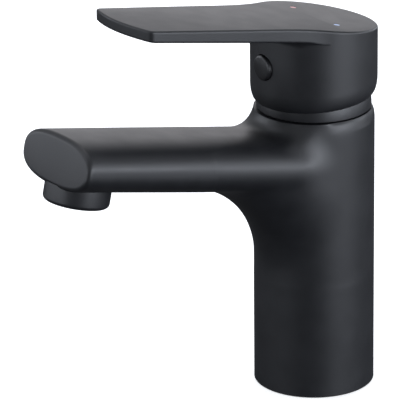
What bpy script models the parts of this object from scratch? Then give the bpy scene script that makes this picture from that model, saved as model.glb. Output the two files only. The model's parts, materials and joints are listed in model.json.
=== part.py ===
"""Single-lever basin mixer: a cast body with spout, a lever handle, a ceramic-disc cartridge and an aerator.

Metres, +Z up. The origin is the centre of the base on the basin deck. The spout points to -Y, so a user
standing in front of the basin looks along +Y and has the cold side on the right, at +X.
"""
from math import asin, atan2, cos, pi, radians, sin, tan

import bmesh
import bpy
from mathutils import Matrix, Vector

MM = 0.001
GAP = 0.3 * MM
MERGE = 0.002 * MM

# Body casting: a round column, open below for the hoses and above for the cartridge.
BODY_RADIUS = 23.1 * MM
RIM_HEIGHT = 110.9 * MM
RIM_RADIUS = 21.7 * MM
SHOULDER_DROP = 3.6 * MM
BASE_ROUND = 0.4 * MM
RECESS_RADIUS = 17.5 * MM
RECESS_DEPTH = 30.0 * MM
GROOVE_INNER = 19.0 * MM
GROOVE_OUTER = 21.4 * MM
GROOVE_DEPTH = 1.8 * MM
CHAMBER_RADIUS = 17.8 * MM
CHAMBER_FLOOR = 74.0 * MM
NUT_BORE_RADIUS = 20.2 * MM
NUT_BORE_FLOOR = 102.6 * MM
PORT_X = 7.0 * MM
PORT_Y = 3.5 * MM
PASSAGE_RADIUS = 4.2 * MM
HOSE_BORE_RADIUS = 4.9 * MM
HOSE_BORE_DEPTH = 12.0 * MM
STUD_BORE_RADIUS = 3.4 * MM
STUD_BORE_DEPTH = 16.0 * MM
STUD_BORE_Y = -9.0 * MM

# Spout: a flattened tube that rises from the column and tapers a little to a flat end.
SPOUT_RISE = radians(12.5)
SPOUT_AXIS_HEIGHT = 89.2 * MM
SPOUT_LENGTH = 122.5 * MM
SPOUT_HALF_WIDTH = 21.0 * MM
SPOUT_HALF_HEIGHT = 10.9 * MM
SPOUT_TIP_SCALE = 0.885
SPOUT_SQUARENESS = 2.6
SPOUT_EDGE = 1.5 * MM
FILLET_ABOVE = 17.5 * MM
FILLET_BELOW = 39.0 * MM
FILLET_LEAST = 0.8 * MM
FILLET_CEILING = RIM_HEIGHT - 0.6 * MM
BLEND_PULL = 0.62
CHANNEL_HALF_WIDTH = 14.0 * MM
CHANNEL_HALF_HEIGHT = 5.8 * MM
CHANNEL_START = 10.0 * MM
CHANNEL_END = 94.0 * MM
NECK_HALF_WIDTH = 8.0 * MM
NECK_HALF_HEIGHT = 3.4 * MM
NECK_RISE = 1.6 * MM

# Aerator, on an axis square to the spout's. Its collar stands in a spot face in the spout's underside.
AERATOR_ALONG = 109.8 * MM
THREAD_RADIUS = 11.8 * MM
AERATOR_RADIUS = 12.45 * MM
AERATOR_DROP = 16.2 * MM
AERATOR_SEAT = -2.5 * MM
SPOT_FACE = -8.2 * MM
OUTLET_RADIUS = 9.6 * MM
OUTLET_TOP = 5.4 * MM

# Handle: a round skirt with a flat lever growing out of its top.
PIVOT_HEIGHT = 112.0 * MM
DOME_RADIUS = 21.9 * MM
DOME_TOP = 118.0 * MM
SKIRT_RADIUS = 24.15 * MM
SKIRT_INNER = 22.3 * MM
LIP_HEIGHT = 116.4 * MM
LIP_SLANT = tan(radians(4.0))
LIP_ROUND = 6.0 * MM
TOP_AT_AXIS = 146.35 * MM
TOP_SLOPE = 0.189
TOP_WALL = 4.0 * MM
LEVER_REACH = 91.8 * MM
LEVER_THICK_TIP = 4.5 * MM
LEVER_THICK_ROOT = 5.4 * MM
CAP_HEIGHT = 131.0 * MM
CAP_RADIUS = 4.8 * MM
CAP_PROUD = 1.2 * MM
MARK_SIDE = 13.3 * MM
MARK_FORWARD = -0.5 * MM
MARK_RADIUS = 1.15 * MM

# Cartridge: the stem rocks on a pin in a turning sleeve and pushes the upper ceramic disc.
STEM_LEAN = radians(10.0)
STEM_FOOT = 15.4 * MM
STEM_TOP = 19.0 * MM
STEM_HALF = 3.8 * MM
PIN_RADIUS = 1.3 * MM
DISC_OFFSET = STEM_FOOT * sin(STEM_LEAN)

FINE = 48
MEDIUM = 28
SMALL = 12
SPOUT_LINES = 36

for old in list(bpy.data.objects):
    bpy.data.objects.remove(old)


def material(name, colour, roughness, metallic):
    """A Principled material with one colour, roughness and metallic value."""
    made = bpy.data.materials.new(name)
    made.use_nodes = True
    shader = made.node_tree.nodes["Principled BSDF"]
    shader.inputs["Base Color"].default_value = (*colour, 1.0)
    shader.inputs["Roughness"].default_value = roughness
    shader.inputs["Metallic"].default_value = metallic
    made.diffuse_color = (*colour, 1.0)
    return made


BLACK_COAT = material("black_powder_coat", (0.018, 0.018, 0.019), 0.5, 0.0)
BRASS = material("machined_brass", (0.62, 0.42, 0.18), 0.3, 1.0)
BLACK_PLASTIC = material("black_plastic", (0.02, 0.02, 0.022), 0.45, 0.0)
WHITE_PLASTIC = material("white_acetal", (0.75, 0.74, 0.7), 0.4, 0.0)
GREY_PLASTIC = material("grey_acetal", (0.3, 0.31, 0.32), 0.4, 0.0)
CERAMIC = material("alumina", (0.8, 0.77, 0.7), 0.2, 0.0)
RUBBER = material("black_rubber", (0.012, 0.012, 0.012), 0.8, 0.0)
STEEL = material("stainless_steel", (0.5, 0.5, 0.5), 0.3, 1.0)
RED_ENAMEL = material("red_enamel", (0.55, 0.34, 0.33), 0.35, 0.0)
BLUE_ENAMEL = material("blue_enamel", (0.3, 0.4, 0.6), 0.35, 0.0)


def as_object(name, mesh_data, look=None):
    """Put a bmesh in the scene as an object."""
    bmesh.ops.remove_doubles(mesh_data, verts=mesh_data.verts, dist=MERGE)
    bmesh.ops.recalc_face_normals(mesh_data, faces=mesh_data.faces)
    mesh = bpy.data.meshes.new(name)
    mesh_data.to_mesh(mesh)
    mesh_data.free()
    made = bpy.data.objects.new(name, mesh)
    bpy.context.scene.collection.objects.link(made)
    if look:
        made.data.materials.append(look)
    return made


def turned(name, profile, look=None, segments=MEDIUM, centre=(0.0, 0.0)):
    """Turn a profile of (radius, height) points about a vertical axis.

    A profile that starts and ends on the axis makes a solid; any other is closed into a ring.
    """
    shape = bmesh.new()
    points = [shape.verts.new((radius, 0.0, height)) for radius, height in profile]
    edges = [shape.edges.new(pair) for pair in zip(points, points[1:])]
    if profile[0][0] > 0.0:
        edges.append(shape.edges.new((points[-1], points[0])))
    bmesh.ops.spin(
        shape, geom=points + edges, cent=(0, 0, 0), axis=(0, 0, 1), dvec=(0, 0, 0),
        angle=2 * pi, steps=segments, use_merge=True, use_duplicate=False,
    )
    bmesh.ops.translate(shape, verts=shape.verts, vec=(centre[0], centre[1], 0.0))
    return as_object(name, shape, look)


def rod(name, radius, low, high, look=None, segments=MEDIUM, centre=(0.0, 0.0)):
    """A plain upright cylinder."""
    return turned(name, [(0.0, low), (radius, low), (radius, high), (0.0, high)], look, segments, centre)


def ring(name, inner, outer, low, high, look=None, segments=MEDIUM, centre=(0.0, 0.0)):
    """A plain upright ring of rectangular section."""
    profile = [(inner, low), (outer, low), (outer, high), (inner, high)]
    return turned(name, profile, look, segments, centre)


def block(name, low, high, look=None):
    """A box between two corners."""
    shape = bmesh.new()
    bmesh.ops.create_cube(shape, size=1.0)
    low, high = Vector(low), Vector(high)
    bmesh.ops.scale(shape, verts=shape.verts, vec=high - low)
    bmesh.ops.translate(shape, verts=shape.verts, vec=(high + low) / 2)
    return as_object(name, shape, look)


def prism(name, outline, low, high, look=None):
    """An upright prism over an outline of (x, y) points."""
    shape = bmesh.new()
    face = shape.faces.new([shape.verts.new((x, y, low)) for x, y in outline])
    raised = bmesh.ops.extrude_face_region(shape, geom=[face])["geom"]
    top = [item for item in raised if isinstance(item, bmesh.types.BMVert)]
    bmesh.ops.translate(shape, verts=top, vec=(0, 0, high - low))
    return as_object(name, shape, look)


def place(made, frame):
    """Move an object's mesh by a matrix."""
    made.data.transform(frame)
    return made


def combine(target, operation, *tools):
    """Apply an exact Boolean with each tool in turn, weld the result, and remove the tools."""
    for tool in tools:
        step = target.modifiers.new(operation, "BOOLEAN")
        step.operation = operation
        step.object = tool
        depsgraph = bpy.context.evaluated_depsgraph_get()
        mesh = bpy.data.meshes.new_from_object(target.evaluated_get(depsgraph))
        target.modifiers.clear()
        target.data = mesh
        bpy.data.objects.remove(tool)
        welded = bmesh.new()
        welded.from_mesh(mesh)
        bmesh.ops.dissolve_degenerate(welded, edges=welded.edges, dist=MERGE)
        bmesh.ops.remove_doubles(welded, verts=welded.verts, dist=MERGE)
        welded.to_mesh(mesh)
        welded.free()
    return target


def cut(target, *tools):
    return combine(target, "DIFFERENCE", *tools)


def join(target, *others):
    return combine(target, "UNION", *others)


def smooth(made):
    """Shade a round piece smooth and keep its corners sharp."""
    made.data.shade_smooth()
    made.data.set_sharp_from_angle(angle=radians(35))
    return made


def set_origin(made, point):
    """Put an object's origin at a world point without moving its shape."""
    made.data.transform(Matrix.Translation(-Vector(point)))
    made.location = point


def quarter(centre, size, start, steps):
    """Points on a quarter of an ellipse, from the angle start, anticlockwise."""
    angles = [start + pi / 2 * step / steps for step in range(steps + 1)]
    return [(centre[0] + size[0] * cos(a), centre[1] + size[1] * sin(a)) for a in angles]


# Frames that the tilted pieces are built in.
SPOUT_FRAME = Matrix.Translation((0, 0, SPOUT_AXIS_HEIGHT)) @ Matrix.Rotation(-SPOUT_RISE, 4, "X")
AERATOR_FRAME = SPOUT_FRAME @ Matrix.Translation((0, -AERATOR_ALONG, 0))
STEM_FRAME = Matrix.Translation((0, 0, PIVOT_HEIGHT)) @ Matrix.Rotation(STEM_LEAN, 4, "X")


def section_scale(along):
    """The spout's taper: 1 at the column, SPOUT_TIP_SCALE at the end."""
    return 1.0 - (1.0 - SPOUT_TIP_SCALE) * along / SPOUT_LENGTH


def spout_point(turn, along, inset=0.0):
    """A point on the spout's surface, turn radians round its section and along its axis."""
    scale = section_scale(along)
    power = 2.0 / SPOUT_SQUARENESS
    across = abs(cos(turn)) ** power * (1 if cos(turn) >= 0 else -1)
    up = abs(sin(turn)) ** power * (1 if sin(turn) >= 0 else -1)
    half_width = SPOUT_HALF_WIDTH - inset
    half_height = SPOUT_HALF_HEIGHT * scale - inset
    return SPOUT_FRAME @ Vector((across * half_width, -along, up * half_height))


def fillet_size(turn, height):
    """How far the fillet reaches over the column, round the spout's section.

    It grows with the angle between the two surfaces, as a rolled ball's does, and stops under the rim.
    """
    power = 2.0 - 2.0 / SPOUT_SQUARENESS
    steep = atan2(abs(sin(turn)) ** power / SPOUT_HALF_HEIGHT, abs(cos(turn)) ** power / SPOUT_HALF_WIDTH)
    radius = FILLET_ABOVE if sin(turn) > 0 else FILLET_BELOW
    size = max(radius * tan(steep / 2), FILLET_LEAST)
    if sin(turn) > 0:
        size = min(size, (FILLET_CEILING - height) / sin(turn))
    return size


def on_column(angle, height, radius=BODY_RADIUS):
    """A point on the column; angle 0 faces the spout."""
    return Vector((radius * sin(angle), -radius * cos(angle), height))


def corner_on_column(turn):
    """Where a line of the spout's surface meets the column, as (angle, height)."""
    point = spout_point(turn, BODY_RADIUS)
    angle = asin(max(-1.0, min(1.0, point.x / BODY_RADIUS)))
    reach = BODY_RADIUS * cos(angle)
    return angle, spout_point(turn, reach / cos(SPOUT_RISE)).z


def fillet_line(turn, steps):
    """Points along one line of the fillet, from just inside the column to the spout."""
    angle, height = corner_on_column(turn)
    size = fillet_size(turn, height)
    away = Vector((cos(turn) * size, sin(turn) * size))
    foot_angle = angle + away.x / BODY_RADIUS
    foot = on_column(foot_angle, height + away.y, BODY_RADIUS - GAP)
    back = Vector((cos(foot_angle) * -away.x, sin(foot_angle) * -away.x, -away.y)) * BLEND_PULL
    corner = on_column(angle, height)
    end = spout_point(turn, (BODY_RADIUS * cos(angle) + size) / cos(SPOUT_RISE))
    hold = [foot, foot + back, end.lerp(corner, BLEND_PULL), end]
    line = []
    for step in range(steps + 1):
        t = step / steps
        weights = ((1 - t) ** 3, 3 * t * (1 - t) ** 2, 3 * t * t * (1 - t), t ** 3)
        line.append(sum((point * weight for point, weight in zip(hold, weights)), Vector()))
    return line


def make_spout_shell():
    """The outside of the spout and its fillet, closed off inside the column."""
    turns = [2 * pi * (step + 0.5) / SPOUT_LINES for step in range(SPOUT_LINES)]
    blend_steps = 7
    lines = []
    for turn in turns:
        fillet = fillet_line(turn, blend_steps)
        root = Vector((fillet[0].x * 0.6, fillet[0].y * 0.6, fillet[0].z))
        tip = [
            spout_point(turn, SPOUT_LENGTH - SPOUT_EDGE),
            spout_point(turn, SPOUT_LENGTH - 0.3 * SPOUT_EDGE, 0.3 * SPOUT_EDGE),
            spout_point(turn, SPOUT_LENGTH, SPOUT_EDGE),
        ]
        lines.append([root] + fillet + tip)
    shape = bmesh.new()
    loops = []
    for row in zip(*lines):
        points = [shape.verts.new(point) for point in row]
        loops.append([shape.edges.new((points[i - 1], points[i])) for i in range(SPOUT_LINES)])
    for first, second in zip(loops, loops[1:]):
        bmesh.ops.bridge_loops(shape, edges=first + second)
    bmesh.ops.holes_fill(shape, edges=loops[-1], sides=0)
    centre = shape.verts.new((0, 0, SPOUT_AXIS_HEIGHT - 8 * MM))
    for edge in loops[0]:
        shape.faces.new((*edge.verts, centre))
    return as_object("spout_shell", shape)


def make_body():
    """The brass casting: column, spout, cartridge chamber, water ways, hose recess and aerator bore."""
    top_round = quarter(
        (RIM_RADIUS, RIM_HEIGHT - SHOULDER_DROP), (BODY_RADIUS - RIM_RADIUS, SHOULDER_DROP), 0.0, 4
    )
    profile = [(0.0, 0.0), (BODY_RADIUS - BASE_ROUND, 0.0), (BODY_RADIUS, BASE_ROUND)]
    profile += top_round + [(0.0, RIM_HEIGHT)]
    body = turned("body_casting", profile, BRASS, FINE)
    join(body, make_spout_shell())
    beyond = 1 * MM
    cut(
        body,
        rod("chamber", CHAMBER_RADIUS, CHAMBER_FLOOR, RIM_HEIGHT + beyond),
        rod("nut_bore", NUT_BORE_RADIUS, NUT_BORE_FLOOR, RIM_HEIGHT + beyond),
        rod("recess", RECESS_RADIUS, -beyond, RECESS_DEPTH),
        ring("groove", GROOVE_INNER, GROOVE_OUTER, -beyond, GROOVE_DEPTH),
        rod("stud_bore", STUD_BORE_RADIUS, RECESS_DEPTH - beyond, RECESS_DEPTH + STUD_BORE_DEPTH,
            segments=SMALL, centre=(0.0, STUD_BORE_Y)),
    )
    for side in (-1, 1):
        centre = (side * PORT_X, PORT_Y)
        passage = [
            (0.0, RECESS_DEPTH - beyond), (HOSE_BORE_RADIUS, RECESS_DEPTH - beyond),
            (HOSE_BORE_RADIUS, RECESS_DEPTH + HOSE_BORE_DEPTH),
            (PASSAGE_RADIUS, RECESS_DEPTH + HOSE_BORE_DEPTH + beyond),
            (PASSAGE_RADIUS, CHAMBER_FLOOR + beyond), (0.0, CHAMBER_FLOOR + beyond),
        ]
        cut(body, turned("passage", passage, segments=SMALL, centre=centre))
    lay_down = Matrix.Rotation(pi / 2, 4, "X")
    channel = rod("channel", 1.0, CHANNEL_START, CHANNEL_END, segments=SMALL)
    flatten = Matrix.Diagonal((CHANNEL_HALF_WIDTH, CHANNEL_HALF_HEIGHT, 1.0, 1.0))
    place(channel, SPOUT_FRAME @ lay_down @ flatten)
    neck = rod("channel_neck", 1.0, CHANNEL_END - 4 * MM, AERATOR_ALONG - 4 * MM, segments=SMALL)
    flatten = Matrix.Diagonal((NECK_HALF_WIDTH, NECK_HALF_HEIGHT, 1.0, 1.0))
    place(neck, SPOUT_FRAME @ Matrix.Translation((0, 0, NECK_RISE)) @ lay_down @ flatten)
    bore = [
        (0.0, -AERATOR_DROP), (AERATOR_RADIUS + GAP, -AERATOR_DROP), (AERATOR_RADIUS + GAP, SPOT_FACE),
        (THREAD_RADIUS + GAP, SPOT_FACE), (THREAD_RADIUS + GAP, AERATOR_SEAT), (OUTLET_RADIUS, AERATOR_SEAT),
        (OUTLET_RADIUS, OUTLET_TOP), (0.0, OUTLET_TOP),
    ]
    cut(body, channel, neck, place(turned("aerator_bore", bore, segments=FINE), AERATOR_FRAME))
    return smooth(body)


def make_base_gasket():
    ring("base_gasket", GROOVE_INNER + GAP, GROOVE_OUTER - GAP, 0.0, GROOVE_DEPTH - GAP, RUBBER)


def make_aerator():
    """Collar, washer, insert and screen, all turned about the aerator's own axis."""
    flange_top = SPOT_FACE - GAP
    corner = 1.5 * MM
    mouth, inner, ledge, top = 9.5 * MM, 10.7 * MM, -14.1 * MM, -4.4 * MM
    bottom_round = quarter((AERATOR_RADIUS - corner, -AERATOR_DROP + corner), (corner, corner), -pi / 2, 3)
    collar = [(mouth, -AERATOR_DROP)] + bottom_round
    collar += [
        (AERATOR_RADIUS, flange_top), (THREAD_RADIUS, flange_top), (THREAD_RADIUS, top),
        (inner, top), (inner, ledge), (mouth, ledge),
    ]
    wall = 1.1 * MM
    insert = [
        (inner - GAP - wall, ledge + GAP), (inner - GAP, ledge + GAP), (inner - GAP, top - GAP),
        (inner - GAP - wall, top - GAP),
    ]
    place(smooth(turned("aerator_collar", collar, BLACK_COAT)), AERATOR_FRAME)
    washer = ring("aerator_washer", 9.9 * MM, 11.6 * MM, top + GAP, AERATOR_SEAT - GAP, RUBBER)
    place(washer, AERATOR_FRAME)
    body = turned("aerator_insert", insert, WHITE_PLASTIC)
    jets = rod("jet_plate", 9.8 * MM, -8.0 * MM, -6.6 * MM)
    join(body, jets)
    jet_count = 6
    for step in range(jet_count):
        turn = 2 * pi * step / jet_count
        centre = (6.6 * MM * cos(turn), 6.6 * MM * sin(turn))
        cut(body, rod("jet", 0.9 * MM, -9 * MM, -5 * MM, segments=8, centre=centre))
    place(smooth(body), AERATOR_FRAME)
    screen = rod("aerator_screen", 9.0 * MM, -13.6 * MM, -12.2 * MM, GREY_PLASTIC)
    pitch, half_hole = 4.2 * MM, 1.6 * MM
    for row in range(-1, 2):
        for column in range(-1, 2):
            x, y = column * pitch, row * pitch
            cut(screen, block("cell", (x - half_hole, y - half_hole, -15 * MM),
                              (x + half_hole, y + half_hole, -11 * MM)))
    place(screen, AERATOR_FRAME)


def make_cartridge():
    """The fixed parts of the ceramic-disc cartridge and its nut, from the chamber floor up."""
    ports = [(-PORT_X, PORT_Y), (PORT_X, PORT_Y), (0.0, -2 * PORT_Y)]
    port_radius = 3.7 * MM
    for name, centre in (("hot_port_seal", ports[0]), ("cold_port_seal", ports[1])):
        ring(name, 4.3 * MM, 5.6 * MM, CHAMBER_FLOOR + GAP, 75.6 * MM, RUBBER, SMALL, centre)
    base = rod("cartridge_base", 17.1 * MM, 79.5 * MM, 83.5 * MM, WHITE_PLASTIC)
    for centre in ports[:2]:
        join(base, rod("leg", 5.6 * MM, 75.9 * MM, 80 * MM, segments=SMALL, centre=centre))
    for centre in ports:
        cut(base, rod("port", port_radius, 75 * MM, 85 * MM, segments=SMALL, centre=centre))
    smooth(base)
    seal = rod("disc_seal", 12.0 * MM, 83.8 * MM, 84.6 * MM, RUBBER)
    fixed = rod("fixed_ceramic_disc", 13.2 * MM, 84.9 * MM, 88.0 * MM, CERAMIC)
    for plate in (seal, fixed):
        for centre in ports:
            cut(plate, rod("port", port_radius, 83 * MM, 90 * MM, segments=SMALL, centre=centre))
    housing = [
        (14.6 * MM, 83.8 * MM), (15.8 * MM, 83.8 * MM), (15.8 * MM, 98.6 * MM), (17.4 * MM, 98.6 * MM),
        (17.4 * MM, 100.0 * MM), (16.2 * MM, 100.0 * MM), (16.2 * MM, 102.2 * MM),
        (17.4 * MM, 102.2 * MM), (17.4 * MM, 104.8 * MM), (14.9 * MM, 104.8 * MM),
        (14.9 * MM, 107.0 * MM), (12.2 * MM, 107.0 * MM), (12.2 * MM, 113.0 * MM),
        (9.8 * MM, 113.0 * MM), (9.8 * MM, 104.9 * MM), (14.6 * MM, 104.9 * MM),
    ]
    smooth(turned("cartridge_housing", housing, WHITE_PLASTIC))
    oring = [(16.55 * MM, 100.4 * MM), (17.4 * MM, 100.4 * MM), (17.5 * MM, 101.1 * MM),
             (17.4 * MM, 101.8 * MM), (16.55 * MM, 101.8 * MM)]
    smooth(turned("housing_oring", oring, RUBBER))
    nut = ring("cartridge_nut", 15.3 * MM, 19.9 * MM, 105.1 * MM, 108.9 * MM, BRASS)
    notch_count = 4
    for step in range(notch_count):
        notch = block("notch", (14 * MM, -2 * MM, 107.2 * MM), (17.4 * MM, 2 * MM, 110 * MM))
        cut(nut, place(notch, Matrix.Rotation(2 * pi * step / notch_count, 4, "Z")))
    smooth(nut)


def make_trim_dome():
    """The domed ring between body and handle; its outside is a ball about the lever's pivot."""
    foot = RIM_HEIGHT + GAP
    wall = 1.3 * MM
    start = asin((foot - PIVOT_HEIGHT) / DOME_RADIUS)
    end = asin((DOME_TOP - PIVOT_HEIGHT) / DOME_RADIUS)
    steps = 4
    angles = [start + (end - start) * step / steps for step in range(steps + 1)]
    outside = [(DOME_RADIUS * cos(a), PIVOT_HEIGHT + DOME_RADIUS * sin(a)) for a in angles]
    inside = [
        (13.2 * MM, DOME_TOP), (13.2 * MM, DOME_TOP - wall), (19.4 * MM, DOME_TOP - wall),
        (19.4 * MM, foot + wall), (18.4 * MM, foot + wall), (18.4 * MM, 109.2 * MM),
        (19.9 * MM, 109.2 * MM), (19.9 * MM, foot),
    ]
    smooth(turned("trim_dome", outside + inside, BLACK_COAT, FINE))


def make_turning_parts():
    """The sleeve that turns with the lever, and the pin that the stem rocks on."""
    sleeve = rod("turn_sleeve", 14.2 * MM, 101.5 * MM, 104.5 * MM, GREY_PLASTIC)
    join(sleeve, rod("neck", 9.5 * MM, 104 * MM, 116 * MM))
    for side in (-1, 1):
        tab = block("tab", (-1.1 * MM, -2 * MM, 93 * MM), (1.1 * MM, 2 * MM, 102 * MM))
        join(sleeve, place(tab, Matrix.Translation((side * 12.4 * MM, 0, 0))))
    slot = block("slot", (-STEM_HALF - GAP, -6.8 * MM, 100 * MM), (STEM_HALF + GAP, 6.8 * MM, 118 * MM))
    across = Matrix.Translation((0, 0, PIVOT_HEIGHT)) @ Matrix.Rotation(pi / 2, 4, "Y")
    hole = place(rod("hole", PIN_RADIUS + GAP, -15 * MM, 15 * MM, segments=SMALL), across)
    smooth(cut(sleeve, slot, hole))
    set_origin(sleeve, (0, 0, PIVOT_HEIGHT))
    pin = place(rod("stem_pin", PIN_RADIUS, -8.8 * MM, 8.8 * MM, STEEL, SMALL), across)
    set_origin(smooth(pin), (0, 0, PIVOT_HEIGHT))


def make_stem():
    """The brass stem: a square bar with a ball foot, leaning forward while the tap is shut."""
    bar = block("stem", (-STEM_HALF, -STEM_HALF, -7 * MM), (STEM_HALF, STEM_HALF, STEM_TOP), BRASS)
    neck = rod("neck", 2.8 * MM, -STEM_FOOT, -6 * MM, segments=SMALL)
    ball_steps = 6
    ball_radius = 3.4 * MM
    arc = [pi * step / ball_steps - pi / 2 for step in range(ball_steps + 1)]
    ball = turned("ball", [(0.0 if abs(a) > 1.57 else ball_radius * cos(a), ball_radius * sin(a) - STEM_FOOT)
                           for a in arc], segments=SMALL)
    join(bar, neck, ball)
    hole = rod("hole", PIN_RADIUS + GAP, -10 * MM, 10 * MM, segments=SMALL)
    cut(bar, place(hole, Matrix.Rotation(pi / 2, 4, "Y")))
    place(smooth(bar), STEM_FRAME)
    set_origin(bar, (0, 0, PIVOT_HEIGHT))


def make_sliding_parts():
    """The carrier that the stem's foot pushes, and the upper ceramic disc under it."""
    centre = (0.0, DISC_OFFSET)
    carrier = rod("disc_carrier", 10.8 * MM, 91.6 * MM, 95.0 * MM, GREY_PLASTIC, centre=centre)
    join(carrier, rod("hub", 6.6 * MM, 94 * MM, 98 * MM, centre=centre))
    cut(carrier, rod("pocket", 3.9 * MM, 92.8 * MM, 99 * MM, centre=centre))
    smooth(carrier)
    disc = rod("moving_ceramic_disc", 11.2 * MM, 88.3 * MM, 91.3 * MM, CERAMIC, centre=centre)
    smooth(cut(disc, rod("mixing_pocket", 7.4 * MM, 87 * MM, 90 * MM, centre=centre)))
    for made in (carrier, disc):
        set_origin(made, (0, DISC_OFFSET, 88.3 * MM))


def top_height(reach):
    """Height of the handle's flat top at a distance in front of the axis."""
    return TOP_AT_AXIS + TOP_SLOPE * reach


def lever_outline():
    """Plan of the lever, from the skirt's left side round the tip to its right side, as (x, y)."""
    side = [(22.4 * MM, 0.0), (22.4 * MM, 9 * MM)]
    hold = [Vector((22.4, 9.0)), Vector((18.0, 20.0)), Vector((18.8, 34.0)), Vector((18.4, 48.0))]
    steps = 10
    for step in range(1, steps + 1):
        t = step / steps
        weights = ((1 - t) ** 3, 3 * t * (1 - t) ** 2, 3 * t * t * (1 - t), t ** 3)
        point = sum((p * w for p, w in zip(hold, weights)), Vector((0, 0)))
        side.append((point.x * MM, point.y * MM))
    corner = 3.0 * MM
    side += quarter((17.6 * MM - corner, LEVER_REACH - 3.4 * MM - corner), (corner, corner), 0.0, 4)[:-1]
    tip_steps = 8
    start = 14.3 * MM
    tip_curve = 13.0
    for step in range(tip_steps + 1):
        x = start * (1 - 2 * step / tip_steps)
        side.append((x, LEVER_REACH - tip_curve * x * x))
    right = side[:-tip_steps - 1]
    left = [(-x, y) for x, y in reversed(right)]
    return [(x, -y) for x, y in side + left]


def make_handle():
    """The lever handle: skirt, lever plate, stem socket, screw hole and mark pockets, in one casting."""
    lip = [(0.0, LIP_HEIGHT), (SKIRT_INNER + 0.2 * MM, LIP_HEIGHT)]
    lip += [
        (SKIRT_INNER + 0.2 * MM + (SKIRT_RADIUS - SKIRT_INNER - 0.2 * MM) * sin(a),
         LIP_HEIGHT + LIP_ROUND * (1 - cos(a)))
        for a in (pi / 2 * step / 6 for step in range(1, 7))
    ]
    handle = turned("lever_handle", lip + [(SKIRT_RADIUS, 170 * MM), (0.0, 170 * MM)], BLACK_COAT, FINE)
    for vertex in handle.data.vertices:
        if vertex.co.z < LIP_HEIGHT + 2 * LIP_ROUND:
            vertex.co.z += vertex.co.y * LIP_SLANT
    plate = prism("plate", lever_outline(), 130 * MM, 170 * MM)
    root, tip = -15 * MM, LEVER_REACH + 5 * MM
    under = [
        (root, top_height(root) - LEVER_THICK_ROOT), (SKIRT_RADIUS, top_height(SKIRT_RADIUS) - LEVER_THICK_ROOT),
        (tip, top_height(tip) - LEVER_THICK_TIP), (tip, 170 * MM), (root, 170 * MM),
    ]
    profile = prism("profile", under, -30 * MM, 30 * MM)
    stand_up = Matrix(((0, 0, 1, 0), (-1, 0, 0, 0), (0, 1, 0, 0), (0, 0, 0, 1)))
    combine(plate, "INTERSECT", place(profile, stand_up))
    join(handle, plate)
    lid = block("lid", (-40 * MM, -120 * MM, 0), (40 * MM, 60 * MM, 60 * MM))
    shear = Matrix(((1, 0, 0, 0), (0, 1, 0, 0), (0, -TOP_SLOPE, 1, TOP_AT_AXIS), (0, 0, 0, 1)))
    cut(handle, place(lid, shear))
    cavity = rod("cavity", SKIRT_INNER, 100 * MM, 140 * MM, segments=FINE)
    for vertex in cavity.data.vertices:
        if vertex.co.z > 120 * MM:
            vertex.co.z = top_height(-vertex.co.y) - TOP_WALL
    cut(handle, cavity)
    boss = place(rod("boss", 7.6 * MM, 8 * MM, 31 * MM), STEM_FRAME)
    bridge = block("bridge", (-6.6 * MM, -23 * MM, 124.5 * MM), (6.6 * MM, -2 * MM, 137.5 * MM))
    join(handle, boss, bridge)
    half = STEM_HALF + GAP
    socket = block("socket", (-half, -half, 0), (half, half, STEM_TOP + GAP))
    to_front = Matrix.Translation((0, 0, CAP_HEIGHT)) @ Matrix.Rotation(pi / 2, 4, "X")
    seat = place(rod("seat", CAP_RADIUS + GAP, 19.2 * MM, 30 * MM, segments=MEDIUM), to_front)
    thread = place(rod("thread", 3.0 * MM, 3 * MM, 30 * MM, segments=SMALL), to_front)
    cut(handle, place(socket, STEM_FRAME), seat, thread)
    for side in (-1, 1):
        pocket = rod("pocket", MARK_RADIUS + GAP, top_height(MARK_FORWARD) - 0.9 * MM, 160 * MM,
                     segments=SMALL, centre=(side * MARK_SIDE, -MARK_FORWARD))
        cut(handle, pocket)
    set_origin(smooth(handle), (0, 0, PIVOT_HEIGHT))
    return to_front


def make_handle_fittings(to_front):
    """The grub screw that grips the stem, the cap over it, and the hot and cold marks."""
    screw = rod("grub_screw", 2.7 * MM, 8.4 * MM, 18.4 * MM, STEEL, SMALL)
    cut(screw, rod("hex", 1.45 * MM, 15.4 * MM, 20 * MM, segments=6))
    place(smooth(screw), to_front)
    edge = 0.5 * MM
    face = SKIRT_RADIUS + CAP_PROUD
    cap = turned("screw_cap", [(0.0, 19.5 * MM), (CAP_RADIUS, 19.5 * MM), (CAP_RADIUS, face - edge),
                               (CAP_RADIUS - edge, face), (0.0, face)], BLACK_PLASTIC, MEDIUM)
    place(smooth(cap), to_front)
    for name, side, look in (("hot_mark", -1, RED_ENAMEL), ("cold_mark", 1, BLUE_ENAMEL)):
        low = top_height(MARK_FORWARD) - 0.9 * MM + GAP
        mark = rod(name, MARK_RADIUS, low, 160 * MM, look, SMALL, (side * MARK_SIDE, -MARK_FORWARD))
        for vertex in mark.data.vertices:
            if vertex.co.z > low + GAP:
                vertex.co.z = top_height(-vertex.co.y)
        smooth(mark)
    for name in ("grub_screw", "screw_cap", "hot_mark", "cold_mark"):
        set_origin(bpy.data.objects[name], (0, 0, PIVOT_HEIGHT))


make_body()
make_base_gasket()
make_aerator()
make_cartridge()
make_trim_dome()
make_turning_parts()
make_stem()
make_sliding_parts()
make_handle_fittings(make_handle())
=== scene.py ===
# %% [markdown]
# # Single-lever basin mixer in matt black
#
# A basin mixer is a brass casting with a cartridge in it. The casting carries the spout, a cast lever
# sits on the cartridge's stem, and everything outside is powder coated in one fine matt black. The CAD
# model gives every piece its place and size. This notebook gives the outside its finished surfaces:
# the cast fillets, the broken edges, and the coat itself.

# %% Load the frame
import json
from math import acos, asin, atan2, cos, hypot, pi, radians, sin, sqrt, tan

import bmesh
import bpy
from mathutils import Matrix, Vector

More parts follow.
